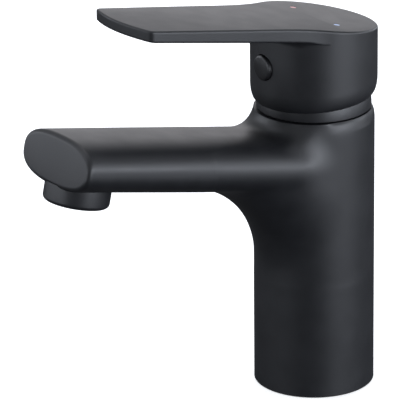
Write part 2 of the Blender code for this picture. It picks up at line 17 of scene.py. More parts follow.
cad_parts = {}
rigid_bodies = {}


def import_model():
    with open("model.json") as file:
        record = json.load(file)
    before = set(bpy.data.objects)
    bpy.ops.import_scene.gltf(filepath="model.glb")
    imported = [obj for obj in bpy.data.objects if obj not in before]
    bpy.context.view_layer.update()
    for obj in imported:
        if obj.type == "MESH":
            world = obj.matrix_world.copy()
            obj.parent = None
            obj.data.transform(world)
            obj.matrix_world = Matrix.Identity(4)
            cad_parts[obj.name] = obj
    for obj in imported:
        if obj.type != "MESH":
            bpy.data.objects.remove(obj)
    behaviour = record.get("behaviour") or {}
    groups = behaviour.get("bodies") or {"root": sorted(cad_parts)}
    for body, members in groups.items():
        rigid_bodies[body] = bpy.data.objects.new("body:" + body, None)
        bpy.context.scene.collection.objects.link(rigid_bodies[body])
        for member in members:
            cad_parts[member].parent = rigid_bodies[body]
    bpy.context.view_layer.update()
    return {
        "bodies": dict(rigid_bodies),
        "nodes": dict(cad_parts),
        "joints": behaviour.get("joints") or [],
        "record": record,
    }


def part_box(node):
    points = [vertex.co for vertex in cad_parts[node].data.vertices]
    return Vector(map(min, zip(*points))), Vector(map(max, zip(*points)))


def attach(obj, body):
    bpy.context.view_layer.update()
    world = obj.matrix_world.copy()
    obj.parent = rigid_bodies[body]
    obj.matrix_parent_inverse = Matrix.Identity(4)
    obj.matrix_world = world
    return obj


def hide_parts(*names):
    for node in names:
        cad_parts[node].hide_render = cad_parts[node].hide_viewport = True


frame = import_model()
MM = 0.001

# %% [markdown]
# ## What each piece is made of
#
# Powder coat isn't smooth up close. The powder melts and flows out, which leaves a soft orange peel a
# few millimetres across, and the matting agent adds a grain of about a third of a millimetre. Both go
# in as bump, with the roughness drifting a little where the coat is thicker. All patterns are sized in
# metres in the object's own space, so they stay the same size on every piece.


# %% A helper for shader nodes
def linear(code):
    """A six-digit sRGB colour as linear light."""
    parts = [int(code[i:i + 2], 16) / 255 for i in (0, 2, 4)]
    return tuple([(c / 12.92 if c < 0.04045 else ((c + 0.055) / 1.055) ** 2.4) for c in parts] + [1.0])


def node(tree, kind, settings=None, **links):
    """Add a node; a link is a value for the socket of that name, or another node's output."""
    made = tree.nodes.new("ShaderNode" + kind)
    for key, value in (settings or {}).items():
        setattr(made, key, value)
    for key, value in links.items():
        socket = made.inputs[int(key[1:])] if key[0] == "i" and key[1:].isdigit() else made.inputs[key]
        if isinstance(value, bpy.types.NodeSocket):
            tree.links.new(value, socket)
        else:
            socket.default_value = value
    return made


def start_material(name):
    """A material with its tree cleared down to one Principled shader."""
    look = bpy.data.materials.new(name)
    look.use_nodes = True
    tree = look.node_tree
    tree.nodes.clear()
    shader = tree.nodes.new("ShaderNodeBsdfPrincipled")
    output = tree.nodes.new("ShaderNodeOutputMaterial")
    tree.links.new(shader.outputs["BSDF"], output.inputs["Surface"])
    place = node(tree, "TexCoord").outputs["Object"]
    return look, tree, shader, place


def drift(tree, shader, place, size, colours, roughness, detail=3.0):
    """Let colour and roughness wander together over patches of one size."""
    noise = node(tree, "TexNoise", Vector=place, Scale=1 / size, Detail=detail)
    patches = noise.outputs["Fac"]
    ramp = node(tree, "ValToRGB", Fac=patches)
    for stop, position, colour in zip(ramp.color_ramp.elements, (0.3, 0.7), colours):
        stop.position, stop.color = position, linear(colour)
    tree.links.new(ramp.outputs["Color"], shader.inputs["Base Color"])
    spread = node(tree, "MapRange", Value=patches)
    for key, value in zip(("From Min", "From Max", "To Min", "To Max"), (0.3, 0.7, *roughness)):
        spread.inputs[key].default_value = value
    tree.links.new(spread.outputs["Result"], shader.inputs["Roughness"])


def bumps(tree, shader, *layers):
    """Stack bump layers, each a height output, its depth in metres and its strength."""
    normal = None
    for height, depth, strength in layers:
        step = node(tree, "Bump", Height=height, Distance=depth, Strength=strength)
        if normal:
            tree.links.new(normal, step.inputs["Normal"])
        normal = step.outputs["Normal"]
    tree.links.new(normal, shader.inputs["Normal"])


# %% Powder coat, the finish of the body, the handle and the trim
def powder_coat(name, colours=("131417", "17181b"), roughness=(0.44, 0.48)):
    look, tree, shader, place = start_material(name)
    shader.inputs["IOR"].default_value = 1.5
    drift(tree, shader, place, 9 * MM, colours, roughness)
    peel = node(tree, "TexNoise", Vector=place, Scale=1 / (2.4 * MM), Detail=1.0)
    grain = node(tree, "TexNoise", Vector=place, Scale=1 / (0.34 * MM), Detail=2.0)
    bumps(tree, shader, (peel.outputs["Fac"], 0.03 * MM, 0.12), (grain.outputs["Fac"], 0.02 * MM, 0.35))
    return look


body_coat = powder_coat("body_powder_coat")
handle_coat = powder_coat("handle_powder_coat")
trim_coat = powder_coat("trim_powder_coat")
print("coats made:", body_coat.name, handle_coat.name, trim_coat.name)

# %% [markdown]
# ## The casting
#
# The body is one brass casting: a column, and a spout of rounded-rectangle section that leaves it at a
# slight rise. The pattern maker rolls a ball along the joint between the two, so a fillet runs all
# round it, wide underneath and tighter on top, where it meets the rim. Here the column and the spout
# with its fillet are built apart and joined, then remeshed finely and relaxed, as the foundry's
# grinding and blasting would soften them. A bevel on the joint would be quicker, but its width can't
# change round the joint, and here the fillet does.

# %% Sizes of the casting
COLUMN_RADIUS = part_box("body_casting")[1].x
RIM_HEIGHT = 110.9 * MM
RIM_RADIUS = 21.7 * MM
SHOULDER = 3.6 * MM
SPOUT_RISE = radians(12.5)
SPOUT_HEIGHT = 89.2 * MM
SPOUT_LENGTH = 122.4 * MM
HALF_WIDTH = 21.0 * MM
HALF_HEIGHT = 10.9 * MM
TIP_HEIGHT_SCALE = 0.885
SQUARENESS = 2.6
TIP_EDGE = 2.0 * MM
AERATOR_ALONG = 109.8 * MM
SPOT_FACE = -8.2 * MM
SPOUT_FRAME = Matrix.Translation((0, 0, SPOUT_HEIGHT)) @ Matrix.Rotation(-SPOUT_RISE, 4, "X")
AERATOR_FRAME = SPOUT_FRAME @ Matrix.Translation((0, -AERATOR_ALONG, 0))
print("column radius and rim height, mm:", round(COLUMN_RADIUS / MM, 2), round(RIM_HEIGHT / MM, 2))


# %% Mesh helpers
def finish(name, shape, look=None, merge=0.002 * MM):
    """Weld a bmesh, point its normals outwards and put it in the scene."""
    bmesh.ops.remove_doubles(shape, verts=shape.verts, dist=merge)
    bmesh.ops.recalc_face_normals(shape, faces=shape.faces)
    mesh = bpy.data.meshes.new(name)
    shape.to_mesh(mesh)
    shape.free()
    made = bpy.data.objects.new(name, mesh)
    bpy.context.scene.collection.objects.link(made)
    if look:
        mesh.materials.append(look)
    return made


def turned(name, profile, steps, frame=None, look=None):
    """Turn (radius, height) points about the upright axis of a frame."""
    shape = bmesh.new()
    points = [shape.verts.new((r, 0.0, z)) for r, z in profile]
    edges = [shape.edges.new(pair) for pair in zip(points, points[1:])]
    if profile[0][0] > 0:
        edges.append(shape.edges.new((points[-1], points[0])))
    bmesh.ops.spin(shape, geom=points + edges, cent=(0, 0, 0), axis=(0, 0, 1), dvec=(0, 0, 0),
                   angle=2 * pi, steps=steps, use_merge=True, use_duplicate=False)
    if frame:
        bmesh.ops.transform(shape, matrix=frame, verts=shape.verts)
    return finish(name, shape, look)


def plug(name, radius, low, high, frame=None, steps=48):
    """A plain round bar, for joining on or cutting away."""
    return turned(name, [(0.0, low), (radius, low), (radius, high), (0.0, high)], steps, frame)


def applied(made):
    """Replace an object's mesh by what its modifiers make of it."""
    depsgraph = bpy.context.evaluated_depsgraph_get()
    mesh = bpy.data.meshes.new_from_object(made.evaluated_get(depsgraph))
    made.modifiers.clear()
    made.data = mesh
    return made


def combine(target, operation, *tools):
    """Apply an exact Boolean with each tool and remove the tools."""
    for tool in tools:
        step = target.modifiers.new(operation, "BOOLEAN")
        step.operation, step.object = operation, tool
        applied(target)
        bpy.data.objects.remove(tool)
        shape = bmesh.new()
        shape.from_mesh(target.data)
        bmesh.ops.dissolve_degenerate(shape, edges=shape.edges, dist=0.002 * MM)
        bmesh.ops.remove_doubles(shape, verts=shape.verts, dist=0.002 * MM)
        shape.to_mesh(target.data)
        shape.free()
    return target


def shaded(made, angle=35):
    """Shade a piece smooth and keep the corners over this angle crisp."""
    made.data.shade_smooth()
    made.data.set_sharp_from_angle(angle=radians(angle))
    return made


def open_edges(made):
    """How many edges of a mesh don't have exactly two faces."""
    shape = bmesh.new()
    shape.from_mesh(made.data)
    count = sum(len(edge.link_faces) != 2 for edge in shape.edges)
    shape.free()
    return count


def arc(centre, size, start, end, steps):
    """Points along an ellipse between two angles in degrees."""
    angles = [radians(start + (end - start) * step / steps) for step in range(steps + 1)]
    return [(centre[0] + size[0] * cos(a), centre[1] + size[1] * sin(a)) for a in angles]


# %% The spout's lines, with the rolled fillet at its root
def half_height(along):
    """The section keeps its width and gets flatter towards the tip."""
    return HALF_HEIGHT * (1.0 - (1.0 - TIP_HEIGHT_SCALE) * along / SPOUT_LENGTH)


def spout_point(turn, along):
    """A point on the spout, turn radians round its section."""
    power = 2.0 / SQUARENESS
    across = abs(cos(turn)) ** power * (1 if cos(turn) >= 0 else -1) * HALF_WIDTH
    up = abs(sin(turn)) ** power * (1 if sin(turn) >= 0 else -1) * half_height(along)
    return SPOUT_FRAME @ Vector((across, -along, up))


def bezier(hold, steps):
    """Points along a cubic curve from its four control points."""
    points = []
    for step in range(steps + 1):
        t = step / steps
        weights = ((1 - t) ** 3, 3 * t * (1 - t) ** 2, 3 * t * t * (1 - t), t ** 3)
        points.append(sum((p * w for p, w in zip(hold, weights)), Vector([0.0] * len(hold[0]))))
    return points


ABOVE_RADIUS, BELOW_RADIUS = 17.5 * MM, 38.5 * MM
# At the sides the spout runs almost straight into the column, and the blend keeps at least this size.
LEAST = 9.0 * MM
CEILING = RIM_HEIGHT + 2.0 * MM
PULL = 0.62


def fillet_line(turn, steps):
    """One line of the fillet, from just inside the column to the spout."""
    power = 2.0 - 2.0 / SQUARENESS
    steep = atan2(abs(sin(turn)) ** power / HALF_HEIGHT, abs(cos(turn)) ** power / HALF_WIDTH)
    start = spout_point(turn, COLUMN_RADIUS)
    angle = asin(max(-1.0, min(1.0, start.x / COLUMN_RADIUS)))
    reach = COLUMN_RADIUS * cos(angle)
    height = spout_point(turn, reach / cos(SPOUT_RISE)).z
    size = hypot((ABOVE_RADIUS if sin(turn) > 0 else BELOW_RADIUS) * tan(steep / 2), LEAST)
    if sin(turn) > 0:
        size = min(size, (CEILING - height) / sin(turn))
    sideways, up = cos(turn) * size, sin(turn) * size
    foot_angle = angle + sideways / COLUMN_RADIUS
    sunk = COLUMN_RADIUS - 0.3 * MM
    foot = Vector((sunk * sin(foot_angle), -sunk * cos(foot_angle), height + up))
    back = Vector((cos(foot_angle) * -sideways, sin(foot_angle) * -sideways, -up)) * PULL
    corner = Vector((COLUMN_RADIUS * sin(angle), -reach, height))
    end = spout_point(turn, (reach + size) / cos(SPOUT_RISE))
    return bezier([foot, foot + back, end.lerp(corner, PULL), end], steps)


def skin(shape, rows):
    """Spin a tube with a ring for each row of points, put every vertex in its place and close the ends."""
    rows = list(rows)
    count = len(rows[0])
    column = [shape.verts.new((1.0, 0.0, ring)) for ring in range(len(rows))]
    edges = [shape.edges.new(pair) for pair in zip(column, column[1:])]
    bmesh.ops.spin(shape, geom=column + edges, cent=(0, 0, 0), axis=(0, 0, 1), dvec=(0, 0, 0),
                   angle=2 * pi, steps=count, use_merge=True, use_duplicate=False)
    for vertex in shape.verts:
        step = round(atan2(vertex.co.y, vertex.co.x) / (2 * pi) * count) % count
        vertex.co = rows[round(vertex.co.z)][step]
    bmesh.ops.holes_fill(shape, edges=[edge for edge in shape.edges if edge.is_boundary], sides=0)


def make_spout(lines=96):
    """The spout and its fillet, left a little long so its tip can be faced off."""
    columns = []
    for step in range(lines):
        turn = 2 * pi * (step + 0.5) / lines
        fillet = fillet_line(turn, 14)
        inner = Vector((fillet[0].x * 0.6, fillet[0].y * 0.6, fillet[0].z))
        columns.append([inner] + fillet + [spout_point(turn, SPOUT_LENGTH + 4 * MM)])
    shape = bmesh.new()
    skin(shape, zip(*columns))
    return finish("spout", shape)


# %% Join, remesh and relax the casting
VOXEL = 0.65 * MM


def make_casting():
    shoulder = arc((RIM_RADIUS, RIM_HEIGHT - SHOULDER), (COLUMN_RADIUS - RIM_RADIUS, SHOULDER), 0, 90, 8)
    profile = [(0.0, -4 * MM), (COLUMN_RADIUS, -4 * MM)] + shoulder
    profile += [(RIM_RADIUS, RIM_HEIGHT + 4 * MM), (0.0, RIM_HEIGHT + 4 * MM)]
    body = turned("casting", profile, 96)
    combine(body, "UNION", make_spout())
    step = body.modifiers.new("remesh", "REMESH")
    step.mode, step.voxel_size, step.adaptivity = "VOXEL", VOXEL, 0.0
    return applied(body)


def relax(made, passes):
    """Smooth the casting, then put the spout's skin back on its true section."""
    shape = bmesh.new()
    shape.from_mesh(made.data)
    for _ in range(passes):
        bmesh.ops.smooth_vert(shape, verts=shape.verts, factor=0.5, use_axis_x=True, use_axis_y=True,
                              use_axis_z=True)
    joint = [v for v in shape.verts if -62 * MM < v.co.y < 12 * MM and 45 * MM < v.co.z < RIM_HEIGHT - MM]
    for _ in range(3 * passes):
        bmesh.ops.smooth_vert(shape, verts=joint, factor=0.5, use_axis_x=True, use_axis_y=True,
                              use_axis_z=True)
    to_spout = SPOUT_FRAME.inverted()
    for vertex in shape.verts:
        point = to_spout @ vertex.co
        along = -point.y
        weight = min(max((along - 66 * MM) / (14 * MM), 0.0), max((SPOUT_LENGTH + 2 * MM - along) / MM, 0.0),
                     1.0)
        if weight > 0:
            out = (abs(point.x) / HALF_WIDTH) ** SQUARENESS
            out += (abs(point.z) / half_height(along)) ** SQUARENESS
            grow = 1 + (out ** (-1 / SQUARENESS) - 1) * weight
            vertex.co = SPOUT_FRAME @ Vector((point.x * grow, point.y, point.z * grow))
        elif vertex.co.z < RIM_HEIGHT - SHOULDER:
            radius = hypot(vertex.co.x, vertex.co.y)
            weight = min(max((48 * MM - vertex.co.z) / (12 * MM), vertex.co.y / (10 * MM), 0.0), 1.0)
            if radius > 15 * MM and weight > 0:
                vertex.co.x *= 1 + (COLUMN_RADIUS / radius - 1) * weight
                vertex.co.y *= 1 + (COLUMN_RADIUS / radius - 1) * weight
    shape.to_mesh(made.data)
    shape.free()
    return made


casting = relax(make_casting(), 10)
print("casting:", len(casting.data.polygons), "faces,", open_edges(casting), "open edges")


# %% Face the casting off and bore it out
def face_off(made, point, normal, centre=None, reach=None):
    """Slice a casting flat, close the cut and return the new face's number."""
    shape = bmesh.new()
    shape.from_mesh(made.data)
    faces = [f for f in shape.faces if centre is None or (f.calc_center_median() - centre).length < reach]
    near = set(faces)
    edges = {e for f in faces for e in f.edges}
    points = {v for f in faces for v in f.verts}
    cut = bmesh.ops.bisect_plane(shape, geom=list(points) + list(edges) + list(near), plane_co=point,
                                 plane_no=normal, clear_outer=True, dist=1e-7)
    rim = [item for item in cut["geom_cut"] if isinstance(item, bmesh.types.BMVert)]
    bmesh.ops.remove_doubles(shape, verts=rim, dist=0.25 * VOXEL)
    rim = [edge for edge in shape.edges if edge.is_boundary]
    cap = max(bmesh.ops.holes_fill(shape, edges=rim, sides=0)["faces"], key=lambda face: face.calc_area())
    bmesh.ops.recalc_face_normals(shape, faces=shape.faces)
    shape.faces.index_update()
    number = cap.index
    shape.to_mesh(made.data)
    shape.free()
    return number


def round_end(made, centre, normal, reach, size, steps=4):
    """Face an end off and roll its edge over with insets, each a little higher than the last."""
    cap = face_off(made, centre - normal * size, normal, centre, reach)
    shape = bmesh.new()
    shape.from_mesh(made.data)
    shape.faces.ensure_lookup_table()
    face = shape.faces[cap]
    for step in range(1, steps + 1):
        before, after = pi / 2 * (step - 1) / steps, pi / 2 * step / steps
        bmesh.ops.inset_region(shape, faces=[face], thickness=size * (cos(before) - cos(after)),
                               depth=size * (sin(after) - sin(before)), use_even_offset=False)
    face.smooth = False
    shape.to_mesh(made.data)
    shape.free()


face_off(casting, Vector((0, 0, RIM_HEIGHT)), Vector((0, 0, 1)), Vector((0, 0, RIM_HEIGHT)), 30 * MM)
face_off(casting, Vector((0, 0, 0.3 * MM)), Vector((0, 0, -1)))
tip = SPOUT_FRAME @ Vector((0, -SPOUT_LENGTH, 0))
forward = (tip - SPOUT_FRAME @ Vector((0, 0, 0))).normalized()
round_end(casting, tip, forward, 28 * MM, TIP_EDGE, 8)
print("faced off:", len(casting.data.polygons), "faces,", open_edges(casting), "open edges")


def bore(name, profile, frame=None, steps=64):
    """A closed turned tool that starts and ends on its axis."""
    return turned(name, [(0.0, profile[0][1])] + profile + [(0.0, profile[-1][1])], steps, frame)


def cut_base():
    """The foot: a small chamfered land with the gasket's groove and the hose recess in it."""
    foot = turned("foot", [
        (0.0, 0.0), (COLUMN_RADIUS - 0.45 * MM, 0.0), (COLUMN_RADIUS - 0.12 * MM, 0.12 * MM),
        (COLUMN_RADIUS - 0.02 * MM, 0.5 * MM), (0.0, 0.5 * MM)], 128)
    combine(casting, "UNION", foot)
    groove = turned("groove", [(19 * MM, -MM), (21.4 * MM, -MM), (21.4 * MM, 1.8 * MM),
                               (19 * MM, 1.8 * MM)], 64)
    recess = bore("recess", [(17.5 * MM, -MM), (17.5 * MM, 30 * MM)])
    chamber = bore("chamber", [(17.8 * MM, 74 * MM), (17.8 * MM, 102.6 * MM), (20.2 * MM, 102.6 * MM),
                               (20.2 * MM, RIM_HEIGHT + MM)])
    ports = []
    for side in (-1, 1):
        lie = Matrix.Translation((side * 7 * MM, 3.5 * MM, 0))
        ports.append(bore("port", [(4.9 * MM, 29 * MM), (4.9 * MM, 42 * MM), (4.2 * MM, 43 * MM),
                                   (4.2 * MM, 75 * MM)], lie, 24))
    stud = bore("stud", [(3.4 * MM, 29 * MM), (3.4 * MM, 46 * MM)], Matrix.Translation((0, -9 * MM, 0)), 24)
    lay_down = SPOUT_FRAME @ Matrix.Rotation(pi / 2, 4, "X")
    channel = plug("channel", 1.0, 10 * MM, 94 * MM,
                   lay_down @ Matrix.Diagonal((14 * MM, 5.8 * MM, 1, 1)), 32)
    raised = SPOUT_FRAME @ Matrix.Translation((0, 0, 1.6 * MM)) @ Matrix.Rotation(pi / 2, 4, "X")
    neck = plug("neck", 1.0, 90 * MM, 105 * MM, raised @ Matrix.Diagonal((8 * MM, 3.4 * MM, 1, 1)), 24)
    seat = bore("seat", [(12.75 * MM, -16 * MM), (12.75 * MM, SPOT_FACE), (12.1 * MM, SPOT_FACE),
                         (12.1 * MM, -2.5 * MM), (9.6 * MM, -2.5 * MM), (9.6 * MM, 5.4 * MM)],
                AERATOR_FRAME, 96)
    combine(casting, "DIFFERENCE", groove, recess, chamber, *ports, stud, channel, neck, seat)


cut_base()
casting.name = "body_casting_finished"
casting.data.materials.clear()
casting.data.materials.append(body_coat)
shaded(casting, 40)
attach(casting, "root")
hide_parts("body_casting")
print("bored:", len(casting.data.polygons), "faces,", open_edges(casting), "open edges")

# %% [markdown]
# ## The lever handle
#
# The handle is a zinc casting: a skirt that hides the cartridge's neck, and a flat lever that grows out
# of it in one sweep. Its top is a single plane. The skirt's wall and the lever's side are one upright
# surface in plan, and the lever's underside runs back into the skirt over a small fillet. The skirt's
# lower edge is drawn in and cut on a slight slant, so it clears the body as the lever lifts. It is made
# as one tube with a ring of points for each step of its section, because that keeps the rounded edges
# even all the way round. A narrow ring on each side of a rounded edge holds the flat wall flat.

# %% Sizes of the handle
handle_low, handle_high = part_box("lever_handle")
SKIRT_RADIUS = handle_high.x
REACH = -handle_low.y
SKIRT_INNER = 22.3 * MM
LIP_HEIGHT = 116.4 * MM
LIP_SLANT = tan(radians(4.0))
LIP_ROUND = 6.0 * MM
TOP_AT_AXIS = 146.35 * MM
TOP_SLOPE = 0.189
UNDER_FILLET = 3.0 * MM
TOP_ROUND = 0.8 * MM
UNDER_ROUND = 0.7 * MM
# Width of the rings that hold a flat wall flat beside a rounded edge.
HOLD = 0.4 * MM
print("skirt radius and reach, mm:", round(SKIRT_RADIUS / MM, 2), round(REACH / MM, 2))


# %% The handle's plan
def handle_plan():
    """Points round the handle as (across, forward), from the back's middle, closed."""
    leave = acos(9.3 * MM / SKIRT_RADIUS)
    start = Vector((SKIRT_RADIUS * sin(leave), SKIRT_RADIUS * cos(leave)))
    along = Vector((-cos(leave), sin(leave)))
    waist, end = Vector((18.8, 34.0)) * MM, Vector((18.4, 48.0)) * MM
    side = [(p.x, p.y) for p in bezier([start, start + along * 11.8 * MM, waist, end], 30)]
    corner, half = 2.6 * MM, 17.6 * MM
    straight = [(end.x + (half - end.x) * t, end.y + 37.7 * MM * t) for t in (0.2, 0.4, 0.6, 0.8)]
    round_off = arc((half - corner, REACH - 3.4 * MM - corner), (corner, corner + 0.3 * MM), 0, 75, 7)
    last = round_off[-1][0]
    tip = []
    for step in range(1, 8):
        x = last * (1 - step / 7)
        tip.append((x, REACH - 13.0 * x * x))
    right = side + straight + round_off + tip
    back_steps = 56
    back = [(SKIRT_RADIUS * sin(a), SKIRT_RADIUS * cos(a))
            for a in (pi - (pi - leave) * step / back_steps for step in range(back_steps))]
    half_plan = back + right
    left = [(-x, y) for x, y in half_plan[-2:0:-1]]
    return half_plan + left


plan = handle_plan()
print("plan points:", len(plan))


def offset_plan(distance):
    """The plan moved inwards; distance is one number, or one for each point."""
    count = len(plan)
    moved = []
    for i, (x, y) in enumerate(plan):
        ahead, behind = plan[(i + 1) % count], plan[i - 1]
        across, forward = ahead[0] - behind[0], ahead[1] - behind[1]
        step = (distance[i] if isinstance(distance, list) else distance) / hypot(across, forward)
        moved.append((x - step * forward, y + step * across))
    return moved


def top_height(forward):
    return TOP_AT_AXIS + TOP_SLOPE * forward


def under_height(forward):
    """The lever's underside; it thins slightly towards the tip."""
    thick = 5.4 * MM - 0.9 * MM * (forward - SKIRT_RADIUS) / (REACH - SKIRT_RADIUS)
    return top_height(forward) - thick


# %% Build the handle as one skin, loop by loop
def handle_rows():
    """Closed loops of points, from the edge of the flat top down and in to the cavity's ceiling."""
    rows = []
    for step in range(6):
        a = pi / 2 * step / 5
        ring = offset_plan(TOP_ROUND * (1 - sin(a)))
        rows.append([(x, y, top_height(y) - TOP_ROUND * (1 - cos(a))) for x, y in ring])
    rows.append([(x, y, top_height(y) - TOP_ROUND - HOLD) for x, y in plan])
    ways = [atan2(x, y) for x, y in plan]
    spare = [max(hypot(x, y) - SKIRT_RADIUS, 0.0) for x, y in plan]
    spare = [0.0 if gap < 0.03 * MM else gap for gap in spare]
    edge = [min(UNDER_ROUND, 0.35 * gap) for gap in spare]
    fillet = [min(UNDER_FILLET, 0.6 * gap) for gap in spare]
    rows.append([(x, y, under_height(y) + size + HOLD) for (x, y), size in zip(plan, edge)])
    for step in range(5):
        a = pi / 2 * step / 4
        ring = offset_plan([size * (1 - cos(a)) for size in edge])
        rows.append([(x, y, under_height(y) + size * (1 - sin(a))) for (x, y), size in zip(ring, edge)])
    for step in range(9):
        a = pi / 2 * step / 8
        row = []
        for way, size in zip(ways, fillet):
            radius = SKIRT_RADIUS + size * (1 - sin(a))
            forward = radius * cos(way)
            row.append((radius * sin(way), forward, under_height(forward) - size * (1 - cos(a))))
        rows.append(row)
    wall = [(SKIRT_RADIUS * sin(w), SKIRT_RADIUS * cos(w)) for w in ways]
    rows.append([(x, y, under_height(y) - size - HOLD) for (x, y), size in zip(wall, fillet)])
    rows.append([(x, y, LIP_HEIGHT + LIP_ROUND + HOLD - y * LIP_SLANT) for x, y in wall])
    for step in range(7):
        a = pi / 2 * (1 - step / 6)
        radius = SKIRT_INNER + 0.25 * MM + (SKIRT_RADIUS - SKIRT_INNER - 0.25 * MM) * sin(a)
        rise = LIP_ROUND * (1 - cos(a))
        rows.append([(radius * sin(w), radius * cos(w), LIP_HEIGHT + rise - radius * cos(w) * LIP_SLANT)
                     for w in ways])
    rows.append([(SKIRT_INNER * sin(w), SKIRT_INNER * cos(w),
                  LIP_HEIGHT + 0.15 * MM - SKIRT_INNER * cos(w) * LIP_SLANT) for w in ways])
    rows.append([(SKIRT_INNER * sin(w), SKIRT_INNER * cos(w),
                  top_height(SKIRT_INNER * cos(w)) - 4 * MM) for w in ways])
    return [[Vector((x, -y, z)) for x, y, z in row] for row in rows]


def make_handle():
    shape = bmesh.new()
    skin(shape, handle_rows())
    return finish("handle", shape, handle_coat, 0.008 * MM)


handle = make_handle()
print("handle skin:", len(handle.data.polygons), "faces,", open_edges(handle), "open edges")

# %% The stem's socket, the screw hole and the pockets for the marks
STEM_FRAME = Matrix.Translation((0, 0, 112 * MM)) @ Matrix.Rotation(radians(10), 4, "X")
CAP_HEIGHT = sum(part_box("screw_cap")[i].z for i in (0, 1)) / 2
TO_FRONT = Matrix.Translation((0, 0, CAP_HEIGHT)) @ Matrix.Rotation(pi / 2, 4, "X")
MARK_SIDE = 13.3 * MM
MARK_Y = 0.5 * MM


def box_tool(name, low, high, frame=None):
    shape = bmesh.new()
    bmesh.ops.create_cube(shape, size=1.0)
    low, high = Vector(low), Vector(high)
    bmesh.ops.scale(shape, verts=shape.verts, vec=high - low)
    bmesh.ops.translate(shape, verts=shape.verts, vec=(high + low) / 2)
    if frame:
        bmesh.ops.transform(shape, matrix=frame, verts=shape.verts)
    return finish(name, shape)


boss = plug("socket_boss", 7.6 * MM, 8 * MM, 31 * MM, STEM_FRAME)
bridge = box_tool("bridge", (-6.6 * MM, -23 * MM, 124.5 * MM), (6.6 * MM, -2 * MM, 137.5 * MM))
combine(handle, "UNION", boss, bridge)
half = 4.1 * MM
socket = box_tool("socket", (-half, -half, 0), (half, half, 19.3 * MM), STEM_FRAME)
seat = plug("cap_seat", 5.15 * MM, 19.2 * MM, 30 * MM, TO_FRONT, 64)
thread = plug("thread", 3.0 * MM, 3 * MM, 30 * MM, TO_FRONT, 24)
pockets = [plug("pocket", 1.2 * MM, top_height(-MARK_Y) - 0.9 * MM, 160 * MM,
                Matrix.Translation((side * MARK_SIDE, MARK_Y, 0)), 32) for side in (-1, 1)]
combine(handle, "DIFFERENCE", socket, seat, thread, *pockets)
handle.name = "lever_handle_finished"
shaded(handle, 32)
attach(handle, "lever")
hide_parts("lever_handle")
print("handle:", len(handle.data.polygons), "faces,", open_edges(handle), "open edges")

# %% [markdown]
# ## Trim ring, cap, marks and aerator
#
# The domed trim ring sits on the body's rim with a hair-line joint. The cap over the grub screw is a
# moulded plug with a chamfered edge. The hot and cold marks are dots of enamel filled flush, and the
# aerator's collar is turned brass in the same coat.


# %% The domed trim ring
def make_dome():
    low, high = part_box("trim_dome")
    radius, centre = 21.9 * MM, 112 * MM
    foot = RIM_HEIGHT + 0.3 * MM
    outside = []
    steps = 14
    first = asin((foot + 0.35 * MM - centre) / radius)
    last = asin((high.z - centre) / radius)
    for step in range(steps + 1):
        a = first + (last - first) * step / steps
        outside.append((radius * cos(a), centre + radius * sin(a)))
    inside = [(13.2 * MM, high.z), (13.2 * MM, high.z - 1.3 * MM), (19.4 * MM, high.z - 1.3 * MM),
              (19.4 * MM, foot + 1.3 * MM), (18.4 * MM, foot + 1.3 * MM), (18.4 * MM, 109.2 * MM),
              (19.9 * MM, 109.2 * MM), (19.9 * MM, foot), (radius - 0.45 * MM, foot)]
    return shaded(turned("trim_dome_finished", outside + inside, 128, None, trim_coat))


dome = make_dome()
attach(dome, "root")
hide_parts("trim_dome")
print("trim ring:", len(dome.data.polygons), "faces,", open_edges(dome), "open edges")


# %% Materials of the small pieces
# The wave texture draws this many bands in one unit at a scale of 1.
WAVE_BANDS = 10 / pi


def moulded(name, colours, roughness, grain=0.25):
    """Injection-moulded plastic or rubber: an even colour, a faint flow pattern, a spark-eroded grain."""
    look, tree, shader, place = start_material(name)
    shader.inputs["IOR"].default_value = 1.49
    drift(tree, shader, place, 5 * MM, colours, roughness, 1.0)
    texture = node(tree, "TexNoise", Vector=place, Scale=1 / (0.2 * MM), Detail=1.0)
    bumps(tree, shader, (texture.outputs["Fac"], 0.01 * MM, grain))
    return look


def turned_metal(name, colours, roughness, pitch):
    """Metal off the lathe: fine rings across the axis, broken up so no two are alike."""
    look, tree, shader, place = start_material(name)
    shader.inputs["Metallic"].default_value = 1.0
    drift(tree, shader, place, 3 * MM, colours, roughness)
    rings = node(tree, "TexWave", {"bands_direction": "Z"}, Vector=place, Scale=1 / (pitch * WAVE_BANDS),
                 Distortion=0.6, Detail=2.0)
    bumps(tree, shader, (rings.outputs["Fac"], 0.01 * MM, 0.3))
    return look


def ceramic(name):
    """Lapped alumina: dense, off-white, with the faint speckle of its grains."""
    look, tree, shader, place = start_material(name)
    shader.inputs["IOR"].default_value = 1.76
    drift(tree, shader, place, 0.25 * MM, ("dcd6ca", "e8e3d9"), (0.14, 0.22))
    pores = node(tree, "TexVoronoi", Vector=place, Scale=1 / (0.3 * MM))
    bumps(tree, shader, (pores.outputs["Distance"], 0.004 * MM, 0.2))
    return look


def enamel(name, colours):
    """Hard enamel filled into a pocket and polished off level."""
    look, tree, shader, place = start_material(name)
    shader.inputs["IOR"].default_value = 1.52
    drift(tree, shader, place, 0.5 * MM, colours, (0.28, 0.36))
    ripple = node(tree, "TexNoise", Vector=place, Scale=1 / (0.6 * MM), Detail=1.0)
    bumps(tree, shader, (ripple.outputs["Fac"], 0.008 * MM, 0.2))
    return look


